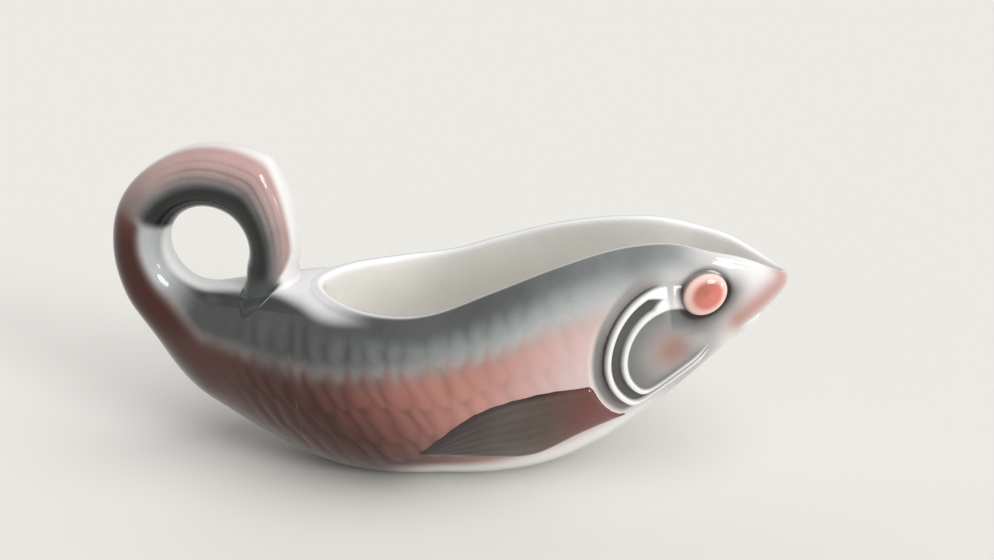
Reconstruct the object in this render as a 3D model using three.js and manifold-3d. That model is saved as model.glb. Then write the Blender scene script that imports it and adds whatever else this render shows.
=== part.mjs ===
// Fish-shaped gravy boat in glazed earthenware, in millimetres, +Z up, beak towards +X.
// The hull is a slip-cast fish with an open back. The curled tail is a second casting, luted
// to the stern and to the back, and makes the handle. Eyes, gill covers and pectoral fins are
// pressed reliefs, luted to the flanks. The origin is under the middle of the whole boat.
import * as THREE from "three";
import { LoftGeometry } from "three/addons/geometries/LoftGeometry.js";
import { mergeVertices } from "three/addons/utils/BufferGeometryUtils.js";
import Module from "manifold-3d";

// Driving dimensions
const HULL_LENGTH = 206; // tail seam to beak tip
const HALF_BEAM = 39; // half of the greatest width
const HEAD_HEIGHT = 91; // table to the highest point of the rim
const LIP = 4.4; // thickness of the wall at the rim
const LIP_CREST = 0.4; // height of the lip's crown over its two rounded edges
const FLOOR = 6; // thickness of the bowl's floor
const FOOT_SINK = 2.4; // how much of the round belly is cut off flat to make the foot
const SLIP = 0.3; // joint of slip between two luted pieces
const HOLE_RADIUS = 14.5; // finger hole of the handle
const TAIL_DEPTH = 18.8; // tail from the finger hole to its outside
const TAIL_HALF_WIDTH = 11; // half of the tail's thickness across the fish
const FIN_EDGE = 32; // finger hole's centre to the tail fin's end edge
const FIN_EDGE_RADIUS = 61; // that edge is a shallow arc
const FIN_EDGE_RISE = 3; // height of the arc's middle over the finger hole's centre
const TOE_REACH = 19; // tail fin's pointed toes, from the middle of the back down each flank
const TOE_LENGTH = 21; // the toes' length along the back
const TOE_RELIEF = 2.2;
const EYE_LENGTH = 16.4;
const EYE_HEIGHT = 13.8;
const EYE_BULGE = 3.2; // how far the eye stands out of the cheek
const EYE_TILT = 20; // degrees, front end up
const GILL_RADIUS = 23.3; // outside of the outer gill ridge
const GILL_CORNER = 7.5; // radius where the outer ridge turns forward along the jaw
const RIDGE_WIDTH = 2.9;
const RIDGE_PITCH = 5.5; // outer ridge to inner ridge
const JAW_ANGLE = 37; // degrees, slope of the jaw line that the gill runs out on
const JAW_DROP = 9; // gill's centre to the jaw line, square to it
const JAW_STEP = 0.9; // how much each ridge's edges draw in along the jaw
const GILL_END = 8; // gill's run along the jaw, forward of its centre
const CHEEK_RELIEF = 1;
const RIDGE_RELIEF = 2;
const PECTORAL_LENGTH = 65;
const PECTORAL_HEIGHT = 29;
const PECTORAL_RELIEF = 1.8;

// Shape of the fish, as shares of the sizes above at even stations from the tail seam to the beak
const BEAM = [0.52, 0.73, 0.9, 0.985, 1, 0.955, 0.87, 0.76, 0.64, 0.47, 0.3];
const BEAK_ROUNDING = 0.1; // share of the hull's length that the beak is rounded off over
const BEAK_BLUNT = 0.995; // share of that rounding at the very tip, under 1 for a blunt tip
const WIDEST = [0.52, 0.51, 0.5, 0.5, 0.51, 0.53, 0.57, 0.63, 0.7, 0.76, 0.82];
const CROWN = [0.77, 0.785, 0.78, 0.77, 0.79, 0.865, 0.94, 0.99, 0.996, 0.94, 0.83];
const KEEL = [0.29, 0.147, 0.04, 0, 0, 0, 0.045, 0.165, 0.353, 0.58, 0.805];
const FULLNESS = [2, 2.4, 3, 3, 2.8, 2.5, 2.3, 2.2, 2.2, 2.2, 2.2]; // upper half, 2 for an ellipse
const BELLY_FULLNESS = 2.1;
// Mouth, as a share of the local width, at even angles from its back round to the beak
const MOUTH = [0, 0.42, 0.73, 0.89, 0.842, 0.771, 0.68, 0.715, 0.9, 0.95, 0.95];
const MOUTH_START = 0.19;
// Bowl's floor, as shares of the mouth's length and of its width
const BOWL_FLOOR = { back: 0.14, front: 0.56, width: 0.25 };
const BOWL_BULGE = 0.8; // how much of the flank's swell the inner wall follows
const BOWL_FULLNESS = 2.3;
const SPOUT_FULLNESS = 1.05; // power of the inner wall at the beak, 1 for a straight slope
const SPOUT_ROUND = 0.55; // how the spout's channel keeps its width on its way down, 1 for a wedge
const SPOUT_TURN = [0.55, 0.92]; // where the bowl's wall turns into the spout, as shares of a half turn
const LIP_EASE = 2.4; // how gently the lip thins where the mouth closes to a point

// Tail, as shares of TAIL_DEPTH and TAIL_HALF_WIDTH, at even turns after the seam round to the fin
const TAIL_TURN = 338; // degrees
const TAIL_DEPTHS = [1.47, 1.13, 0.995, 1, 1.03, 1.18, 1.34, 1.585, 1.7, 1.7, 1.7];
const TAIL_WIDTHS = [1.15, 1.05, 1, 0.97, 0.95, 0.95, 0.97, 1, 1, 1, 1];
const FIN_FULLNESS = 2.6;

// Places on the flank, as shares of HULL_LENGTH along and of HEAD_HEIGHT up
const TOE_AT = 0.07;
const TOE_BACK = 0.4; // share of the toes' length that lies behind their points
const TOE_WAIST = [0.5, 0.6]; // how the toes' edges curve, as shares of their length and reach
const EYE_AT = [0.833, 0.833];
const GILL_AT = [0.7845, 0.599];
const PECTORAL_AT = [0.6825, 0.412];
const GILL_TOP = 86; // degrees, where the gill starts behind the eye
// Pectoral fin's edges from its tip to its root and back, as shares of its length and height
const PECTORAL_TOP = [[-1, -0.59], [-0.71, 0], [-0.4, 0.23], [-0.08, 0.28], [0.12, 0.28]];
const PECTORAL_FOOT = [[0.12, -0.27], [-0.14, -0.44], [-0.385, -0.72], [-0.63, -0.68], [-1, -0.59]];

// Facets
const STERN_STEPS = 6;
const MOUTH_STEPS = 26;
const LIP_STEPS = 3;
const BACK_STEPS = 6;
const BELLY_STEPS = 9;
const BOWL_STEPS = 9;
const TAIL_STEPS = 38;
const TAIL_SIDES = 20;
const CURVE_STEPS = 12;
const EYE_STEPS = 10;

const wasm = await Module();
wasm.setup();

const { clamp, degToRad, lerp, smoothstep } = THREE.MathUtils;

// Smooth curve through values at even stations from 0 to 1.
function even(values) {
  const last = values.length - 1;
  const at = (i) => {
    if (i < 0) return 2 * values[0] - values[1];
    if (i > last) return 2 * values[last] - values[last - 1];
    return values[i];
  };
  return (share) => {
    const i = clamp(Math.floor(share * last), 0, last - 1);
    const f = share * last - i;
    const step = at(i + 1) - at(i);
    const before = (at(i + 1) - at(i - 1)) / 2;
    const after = (at(i + 2) - at(i)) / 2;
    return at(i) + f * (before + f * (3 * step - 2 * before - after + f * (before + after - 2 * step)));
  };
}

// Height on a quarter of a superellipse whose widest point is at 0 and whose top is at 1.
const quarter = (share, power) => (1 - clamp(share, 0, 1) ** power) ** (1 / power);

const beam = even(BEAM);
const widest = even(WIDEST);
const crown = even(CROWN);
const keel = even(KEEL);
const fullness = even(FULLNESS);
const mouth = even(MOUTH);

const length = HULL_LENGTH + HOLE_RADIUS + TAIL_DEPTH + SLIP;
const seamX = length / 2 - HULL_LENGTH;
const holeHeight = HEAD_HEIGHT * CROWN[0] + HOLE_RADIUS;
const onFlank = ([along, up]) => new THREE.Vector2(seamX + HULL_LENGTH * along, HEAD_HEIGHT * up);
const crownAt = (x) => HEAD_HEIGHT * crown((x - seamX) / HULL_LENGTH);

// Share of the hull's length at an angle round the mouth, from 0 at its back to PI at the beak.
const rimStation = (angle) => lerp(MOUTH_START, 1, (1 - Math.cos(angle)) / 2);

// Share of the hull's width that the mouth takes, at a share of the hull's length.
function mouthShare(along) {
  const cosine = 1 - (2 * (along - MOUTH_START)) / (1 - MOUTH_START);
  return along > MOUTH_START ? mouth(Math.acos(clamp(cosine, -1, 1)) / Math.PI) : 0;
}

// Sizes of the hull's section at a share of its length, grown outwards by an offset.
function station(along, grow = 0) {
  const nose = Math.max(BEAK_BLUNT * (1 - (1 - along) / BEAK_ROUNDING), 0);
  const half = HALF_BEAM * beam(along) * quarter(nose, 2) + grow;
  const rim = half * mouthShare(along);
  const level = HEAD_HEIGHT * widest(along);
  const top = HEAD_HEIGHT * crown(along) + grow;
  const bottom = HEAD_HEIGHT * keel(along) - FOOT_SINK - grow;
  const lipDrop = (LIP / 2) * (rim / half) ** 2;
  const power = fullness(along);
  const rise = (top - lipDrop - level) / quarter(rim / half, power);
  return { x: seamX + HULL_LENGTH * along, half, rim, level, top, bottom, lipDrop, power, rise };
}

// Point of the right or left flank at a place on its side view. Side -1 is the fish's right.
function flankPoint(place, side) {
  const s = station((place.x - seamX) / HULL_LENGTH);
  const up = place.y > s.level;
  const share = up ? (place.y - s.level) / s.rise : (s.level - place.y) / (s.level - s.bottom);
  const half = s.half * quarter(share, up ? s.power : BELLY_FULLNESS);
  return new THREE.Vector3(place.x, side * half, place.y);
}

// One side of the hull's section from the lip, or from the closed back, down to the keel.
function sideProfile(s) {
  const side = [];
  const lipReach = Math.min(LIP, s.rim) / 2;
  for (let i = 0; i < LIP_STEPS; i++) {
    const turn = ((i / LIP_STEPS) * Math.PI) / 2;
    side.push([s.rim - lipReach * (1 - Math.sin(turn)), s.top - s.lipDrop * (1 - Math.cos(turn))]);
  }
  const start = Math.acos(clamp((s.rim / s.half) ** (s.power / 2), 0, 1));
  for (let i = 0; i < BACK_STEPS; i++) {
    const turn = start * (1 - i / BACK_STEPS);
    const y = s.half * Math.max(Math.cos(turn), 0) ** (2 / s.power);
    side.push([y, s.level + s.rise * Math.sin(turn) ** (2 / s.power)]);
  }
  for (let i = 0; i <= BELLY_STEPS; i++) {
    const turn = ((i / BELLY_STEPS) * Math.PI) / 2;
    const y = s.half * Math.max(Math.cos(turn), 0) ** (2 / BELLY_FULLNESS);
    side.push([y, s.level - (s.level - s.bottom) * Math.sin(turn) ** (2 / BELLY_FULLNESS)]);
  }
  return side;
}

// Closed fish, with the belly cut flat at the table. Sections crowd where the mouth turns round.
function hull(grow = 0) {
  const stern = Array.from({ length: STERN_STEPS }, (_, i) => (MOUTH_START * i) / STERN_STEPS);
  const open = Array.from({ length: MOUTH_STEPS + 1 }, (_, i) => rimStation((Math.PI * i) / MOUTH_STEPS));
  const rings = [...stern, ...open].map((along) => {
    const s = station(along, grow);
    const side = sideProfile(s);
    const place = ([y, z], sign) => new THREE.Vector3(s.x, sign * y, Math.max(z, -grow));
    const right = side.map((point) => place(point, -1));
    const left = side.slice(0, -1).reverse();
    return [...right, ...left.map((point) => place(point, 1))];
  });
  return loft(rings);
}

// Bowl: rings that start above the rim, turn in over the rounded lip and run down to the floor.
function bowl() {
  const back = station(MOUTH_START).x + LIP;
  const front = station(1).x - LIP / 2;
  const floorBack = lerp(back, front, BOWL_FLOOR.back);
  const floorFront = lerp(back, front, BOWL_FLOOR.front);
  const ring = (place) =>
    Array.from({ length: 2 * MOUTH_STEPS }, (_, i) => {
      const turn = (Math.PI * i) / MOUTH_STEPS;
      const angle = Math.min(turn, 2 * Math.PI - turn);
      const share = (1 - Math.cos(angle)) / 2;
      const rim = station(rimStation(angle));
      const edge = rim.rim - LIP * Math.tanh(rim.rim / (LIP_EASE * LIP));
      const point = place({ angle, share, rim, x: lerp(back, front, share), y: Math.max(edge, 0) });
      return turn < Math.PI ? point : point.setY(-point.y);
    });
  const lipRing = (out, down) =>
    ring(({ rim, x, y }) => {
      const lipX = lerp(x, rim.x, out / 2);
      const z = crownAt(lipX) + LIP_CREST - (down * LIP) / 2;
      return new THREE.Vector3(lipX, lerp(y, rim.rim, out / 2), z);
    });
  const wallRing = (turn) =>
    ring(({ angle, share, rim, x, y }) => {
      const spout = smoothstep(angle / Math.PI, ...SPOUT_TURN);
      const power = 2 / lerp(BOWL_FULLNESS, SPOUT_FULLNESS, spout);
      const out = Math.max(Math.cos(turn), 0) ** power;
      const swell = BOWL_BULGE * (rim.half - rim.rim) * Math.sin(angle) * Math.sin(2 * turn);
      const floorX = lerp(floorBack, floorFront, share);
      const floorZ = FLOOR + Math.max(station((floorX - seamX) / HULL_LENGTH).bottom, 0);
      const wallY = lerp(BOWL_FLOOR.width * y, y, out ** lerp(1, SPOUT_ROUND, spout)) + swell;
      const z = lerp(crownAt(x) + LIP_CREST - LIP / 2, floorZ, Math.sin(turn) ** power);
      return new THREE.Vector3(lerp(floorX, x, out), wallY, z);
    });
  const crest = lipRing(1, 0);
  const rings = [crest.map((point) => point.clone().setZ(HEAD_HEIGHT + LIP)), crest];
  for (let i = 1; i <= LIP_STEPS; i++) {
    const turn = ((i / LIP_STEPS) * Math.PI) / 2;
    rings.push(lipRing(1 - Math.sin(turn), 1 - Math.cos(turn)));
  }
  for (let i = 1; i <= BOWL_STEPS; i++) rings.push(wallRing(((i / BOWL_STEPS) * Math.PI) / 2));
  return loft(rings);
}

// Distance from the finger hole's centre to the outside of the tail's loop or to its fin's end edge.
function tailReach(angle, depth) {
  const loop = HOLE_RADIUS + TAIL_DEPTH * depth;
  const arc = new THREE.Vector2(FIN_EDGE - FIN_EDGE_RADIUS, FIN_EDGE_RISE);
  const along = arc.dot(new THREE.Vector2(Math.cos(angle), Math.sin(angle)));
  const edge = along + Math.sqrt(along ** 2 - arc.lengthSq() + FIN_EDGE_RADIUS ** 2);
  return angle < Math.PI / 2 ? Math.min(loop, edge) : loop;
}

// Tail: sections fanned about the finger hole, from the stern's own section round to the fin.
function tailLoop() {
  const root = station(0);
  const depths = even([(root.top - root.bottom) / TAIL_DEPTH, ...TAIL_DEPTHS]);
  const widths = even([root.half / TAIL_HALF_WIDTH, ...TAIL_WIDTHS]);
  const middle = (root.top - root.level) / (root.top - root.bottom);
  const rings = Array.from({ length: TAIL_STEPS + 1 }, (_, i) => {
    const share = i / TAIL_STEPS;
    const angle = degToRad(270 - TAIL_TURN * share);
    const reach = tailReach(angle, depths(share));
    const half = TAIL_HALF_WIDTH * widths(share);
    const centre = lerp(HOLE_RADIUS, reach, middle);
    const outerPower = lerp(BELLY_FULLNESS, FIN_FULLNESS, share);
    return Array.from({ length: TAIL_SIDES }, (_, j) => {
      const turn = (2 * Math.PI * j) / TAIL_SIDES;
      const [out, side] = [Math.cos(turn), -Math.sin(turn)];
      const power = 2 / (out > 0 ? outerPower : root.power);
      const extent = out > 0 ? reach - centre : centre - HOLE_RADIUS;
      const radius = centre + extent * Math.sign(out) * Math.abs(out) ** power;
      const y = half * Math.sign(side) * Math.abs(side) ** power;
      const x = seamX - SLIP + radius * Math.cos(angle);
      return new THREE.Vector3(x, y, holeHeight + radius * Math.sin(angle));
    });
  });
  return loft(rings);
}

// Toes: the tail fin's foot, a leaf across the back that drapes to a point on each flank.
function toes() {
  const back = -TOE_LENGTH * TOE_BACK;
  const front = TOE_LENGTH + back;
  const [along, down] = TOE_WAIST;
  const leaf = new THREE.Shape();
  leaf.moveTo(back, 0);
  leaf.quadraticCurveTo(back * along, -TOE_REACH * down, 0, -TOE_REACH);
  leaf.quadraticCurveTo(front * along, -TOE_REACH * down, front, 0);
  leaf.quadraticCurveTo(front * along, TOE_REACH * down, 0, TOE_REACH);
  leaf.quadraticCurveTo(back * along, TOE_REACH * down, back, 0);
  const prism = new THREE.ExtrudeGeometry(leaf, {
    depth: HEAD_HEIGHT,
    bevelEnabled: false,
    curveSegments: CURVE_STEPS / 2,
  });
  prism.translate(seamX + HULL_LENGTH * TOE_AT, 0, HEAD_HEIGHT * WIDEST[0]);
  return solid(prism).intersect(hull(TOE_RELIEF));
}

// Eye: a tilted oval boss that sits square to the cheek.
function eye(side) {
  const place = onFlank(EYE_AT);
  const seat = flankPoint(place, side);
  const ahead = flankPoint(place.clone().add(new THREE.Vector2(1, 0)), side).sub(seat);
  const above = flankPoint(place.clone().add(new THREE.Vector2(0, 1)), side).sub(seat);
  const outward = ahead.clone().cross(above).multiplyScalar(-side).normalize();
  const tilt = degToRad(EYE_TILT);
  const axis = ahead.multiplyScalar(Math.cos(tilt)).addScaledVector(above, Math.sin(tilt)).normalize();
  const upright = outward.clone().cross(axis).normalize();
  const ball = new THREE.SphereGeometry(1, 2 * EYE_STEPS, EYE_STEPS);
  ball.scale(EYE_LENGTH / 2, EYE_HEIGHT / 2, EYE_BULGE);
  ball.applyMatrix4(new THREE.Matrix4().makeBasis(upright.clone().cross(outward), upright, outward));
  ball.translate(seat.x, seat.y, seat.z);
  return solid(ball).subtract(hull(SLIP));
}

// Outline on the side view, pushed out across one half of the fish.
function across(outline, side) {
  const prism = new THREE.ExtrudeGeometry(outline, {
    depth: 2 * HALF_BEAM,
    bevelEnabled: false,
    curveSegments: CURVE_STEPS,
  });
  prism.rotateX(Math.PI / 2);
  if (side > 0) prism.translate(0, 2 * HALF_BEAM, 0);
  return solid(prism);
}

// Gill's edge: an arc from behind the eye round and down, a tight corner, then a run along the jaw.
// The outline closes forward of the gill, past its end by an overrun.
function gillOutline(radius, inset, overrun = 0) {
  const jaw = degToRad(JAW_ANGLE);
  const forward = new THREE.Vector2(Math.cos(jaw), Math.sin(jaw));
  const down = new THREE.Vector2(Math.sin(jaw), -Math.cos(jaw));
  const corner = (GILL_CORNER * radius) / GILL_RADIUS;
  const drop = JAW_DROP - inset;
  const centre = onFlank(GILL_AT);
  const back = Math.sqrt((radius - corner) ** 2 - (drop - corner) ** 2);
  const turn = centre.clone().addScaledVector(forward, -back).addScaledVector(down, drop - corner);
  const meet = Math.atan2(turn.y - centre.y, turn.x - centre.x) + 2 * Math.PI;
  const end = centre.clone().addScaledVector(forward, GILL_END + overrun).addScaledVector(down, drop);
  const top = degToRad(GILL_TOP);
  const outline = new THREE.Shape();
  outline.absarc(centre.x, centre.y, radius, top, meet, false);
  outline.absarc(turn.x, turn.y, corner, meet, jaw + 1.5 * Math.PI, false);
  outline.lineTo(end.x, end.y);
  outline.lineTo(centre.x + radius * Math.cos(top) + overrun, centre.y + radius * Math.sin(top));
  return outline;
}

// Gill cover: a thin cheek plate with two raised ridges that run together along the jaw.
function gillCover(side) {
  const cover = across(gillOutline(GILL_RADIUS, 0), side);
  const ridges = [0, 1].map((i) => {
    const radius = GILL_RADIUS - i * RIDGE_PITCH;
    const inset = 2 * i * JAW_STEP;
    const outer = across(gillOutline(radius, inset, i * RIDGE_PITCH), side);
    return outer.subtract(across(gillOutline(radius - RIDGE_WIDTH, inset + JAW_STEP, RIDGE_PITCH * 2), side));
  });
  const raised = ridges[0].add(ridges[1]).intersect(cover).intersect(hull(RIDGE_RELIEF));
  return cover.intersect(hull(CHEEK_RELIEF)).add(raised).subtract(hull(SLIP)).subtract(eyeSocket(side));
}

// Room round the eye, so that the gill cover stops short of it.
function eyeSocket(side) {
  const place = onFlank(EYE_AT);
  const oval = new THREE.Shape();
  const [long, high] = [EYE_LENGTH / 2 + 2 * SLIP, EYE_HEIGHT / 2 + 2 * SLIP];
  oval.absellipse(place.x, place.y, long, high, 0, 2 * Math.PI, false, degToRad(EYE_TILT));
  return across(oval, side);
}

// Pectoral fin: a pointed leaf swept back from the gill, which overlaps its root.
function pectoralFin(side) {
  const root = onFlank(PECTORAL_AT);
  const point = ([along, up]) =>
    new THREE.Vector2(root.x + PECTORAL_LENGTH * along, root.y + PECTORAL_HEIGHT * up);
  const leaf = new THREE.Shape();
  leaf.moveTo(point(PECTORAL_TOP[0]).x, point(PECTORAL_TOP[0]).y);
  leaf.splineThru(PECTORAL_TOP.slice(1).map(point));
  leaf.lineTo(point(PECTORAL_FOOT[0]).x, point(PECTORAL_FOOT[0]).y);
  leaf.splineThru(PECTORAL_FOOT.slice(1).map(point));
  const gill = across(gillOutline(GILL_RADIUS + SLIP, -SLIP, GILL_RADIUS), side);
  return across(leaf, side).intersect(hull(PECTORAL_RELIEF)).subtract(hull(SLIP)).subtract(gill);
}

// Solid along a row of rings; each end is gathered to one point, which closes it.
function loft(rings) {
  const gather = (ring) => {
    const sum = ring.reduce((total, point) => total.add(point), new THREE.Vector3());
    return ring.map(() => sum.clone().divideScalar(ring.length));
  };
  return solid(new LoftGeometry([gather(rings[0]), ...rings, gather(rings.at(-1))]));
}

// Closed solid of a three.js geometry, with its doubled points and collapsed faces dropped.
function solid(geometry) {
  const plain = new THREE.BufferGeometry();
  plain.setAttribute("position", geometry.attributes.position);
  plain.setIndex(geometry.index);
  const merged = mergeVertices(plain);
  const index = merged.index.array;
  const triVerts = [];
  for (let i = 0; i < index.length; i += 3) {
    const corners = [index[i], index[i + 1], index[i + 2]];
    if (new Set(corners).size === 3) triVerts.push(...corners);
  }
  return new wasm.Manifold(
    new wasm.Mesh({
      numProp: 3,
      vertProperties: merged.attributes.position.array,
      triVerts: new Uint32Array(triVerts),
    }),
  );
}

// Named mesh of a closed solid.
function piece(name, body, material) {
  const made = body.getMesh();
  const geometry = new THREE.BufferGeometry();
  geometry.setAttribute("position", new THREE.BufferAttribute(made.vertProperties, 3));
  geometry.setIndex(new THREE.BufferAttribute(made.triVerts, 1));
  geometry.computeVertexNormals();
  const mesh = new THREE.Mesh(geometry, material);
  mesh.name = name;
  return mesh;
}

const glaze = (color) => new THREE.MeshStandardMaterial({ color, roughness: 0.2, metalness: 0 });
const bodyGlaze = glaze(0xc8a6a0);
const tailGlaze = glaze(0xbf8f8a);
const eyeGlaze = glaze(0xd9827a);
const gillGlaze = glaze(0xcfc8c2);
const finGlaze = glaze(0x857d79);

const boat = new THREE.Group();
boat.add(piece("boat_body", hull().subtract(bowl()), bodyGlaze));
boat.add(piece("tail_handle", tailLoop().add(toes()).subtract(hull(SLIP)), tailGlaze));
for (const [name, side] of [["right", -1], ["left", 1]]) {
  boat.add(piece(`${name}_eye`, eye(side), eyeGlaze));
  boat.add(piece(`${name}_gill_cover`, gillCover(side), gillGlaze));
  boat.add(piece(`${name}_pectoral_fin`, pectoralFin(side), finGlaze));
}

export default boat;
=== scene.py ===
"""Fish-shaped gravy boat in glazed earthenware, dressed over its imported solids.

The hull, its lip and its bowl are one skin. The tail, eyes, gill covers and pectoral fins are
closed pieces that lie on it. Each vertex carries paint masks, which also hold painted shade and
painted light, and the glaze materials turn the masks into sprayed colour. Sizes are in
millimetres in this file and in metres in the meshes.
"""

import logging
import math
from dataclasses import dataclass
from enum import Enum

import bmesh
import bpy
import numpy as np
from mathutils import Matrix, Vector


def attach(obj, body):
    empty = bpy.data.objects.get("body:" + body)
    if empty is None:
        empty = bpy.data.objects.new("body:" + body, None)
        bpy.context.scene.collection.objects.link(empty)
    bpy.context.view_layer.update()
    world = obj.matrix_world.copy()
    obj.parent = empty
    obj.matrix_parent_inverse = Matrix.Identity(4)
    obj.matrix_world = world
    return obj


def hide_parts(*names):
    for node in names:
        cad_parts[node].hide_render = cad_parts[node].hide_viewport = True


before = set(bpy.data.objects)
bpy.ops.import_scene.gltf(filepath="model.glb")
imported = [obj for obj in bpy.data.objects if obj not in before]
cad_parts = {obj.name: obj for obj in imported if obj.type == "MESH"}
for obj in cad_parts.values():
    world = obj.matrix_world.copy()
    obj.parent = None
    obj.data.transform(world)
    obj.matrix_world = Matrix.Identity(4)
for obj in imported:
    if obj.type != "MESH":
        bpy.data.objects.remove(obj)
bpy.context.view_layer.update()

logging.basicConfig(level=logging.INFO, format="%(message)s")
LOG = logging.getLogger("gravy_boat")

MM = 0.001
MERGE = 1e-6  # points closer than this are one
MASKS = ("grey", "deep", "pink", "dusk", "pale", "cream", "foot")
COLOURS = ("white", "grey", "deep", "pink", "dusk", "cream", "bisque")
MIRROR = np.array([1.0, -1.0, 1.0])
PLAIN_TONGUE = 0.6  # height of a scale where none is pressed
CLOUD_SCALE = 85.0
GRAIN_SCALE = 900.0

Array = np.ndarray
Masks = dict[str, Array]
Span = tuple[float, float]
Place = tuple[float, float]


class Side(Enum):
    """Flank of the fish; the value is the sign of its Y."""

    RIGHT = -1
    LEFT = 1


def smoothstep(low: float, high: float, value: Array) -> Array:
    """Soft step from 0 at low to 1 at high."""
    share = np.clip((value - low) / (high - low), 0.0, 1.0)
    return share * share * (3.0 - 2.0 * share)


def fade(low: float, high: float, value: Array) -> Array:
    """Soft step from 1 at low to 0 at high."""
    return 1.0 - smoothstep(low, high, value)


def lerp(start: Array, end: Array, share: Array) -> Array:
    """Straight blend of two values."""
    return start + (end - start) * share


def quarter(share: Array, power: Array) -> Array:
    """Height on a quarter of a superellipse, 1 at share 0 and 0 at share 1."""
    return (1.0 - np.clip(share, 0.0, 1.0) ** power) ** (1.0 / power)


def bell(value: Array, width: float) -> Array:
    """Soft bump of height 1 about zero."""
    return np.exp(-((value / width) ** 2))


@dataclass(frozen=True)
class Curve:
    """Smooth curve through values at even stations from 0 to 1."""

    values: tuple[float, ...]

    def at(self, share: Array) -> Array:
        """Value of the curve at each share."""
        values = np.asarray(self.values)
        padded = np.concatenate(
            ([2 * values[0] - values[1]], values, [2 * values[-1] - values[-2]])
        )
        last = len(values) - 1
        place = np.asarray(share, float) * last
        index = np.clip(np.floor(place).astype(int), 0, last - 1)
        part = place - index
        before, start, end, after = (padded[index + k] for k in range(4))
        leave, arrive, step = (end - before) / 2, (after - start) / 2, end - start
        bend = 3 * step - 2 * leave - arrive + part * (leave + arrive - 2 * step)
        return start + part * (leave + part * bend)


@dataclass(frozen=True)
class Station:
    """Sizes of the hull's section at one or more places along it."""

    x: Array
    half: Array
    rim: Array
    level: Array
    top: Array
    bottom: Array
    drop: Array
    power: Array
    rise: Array


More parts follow.
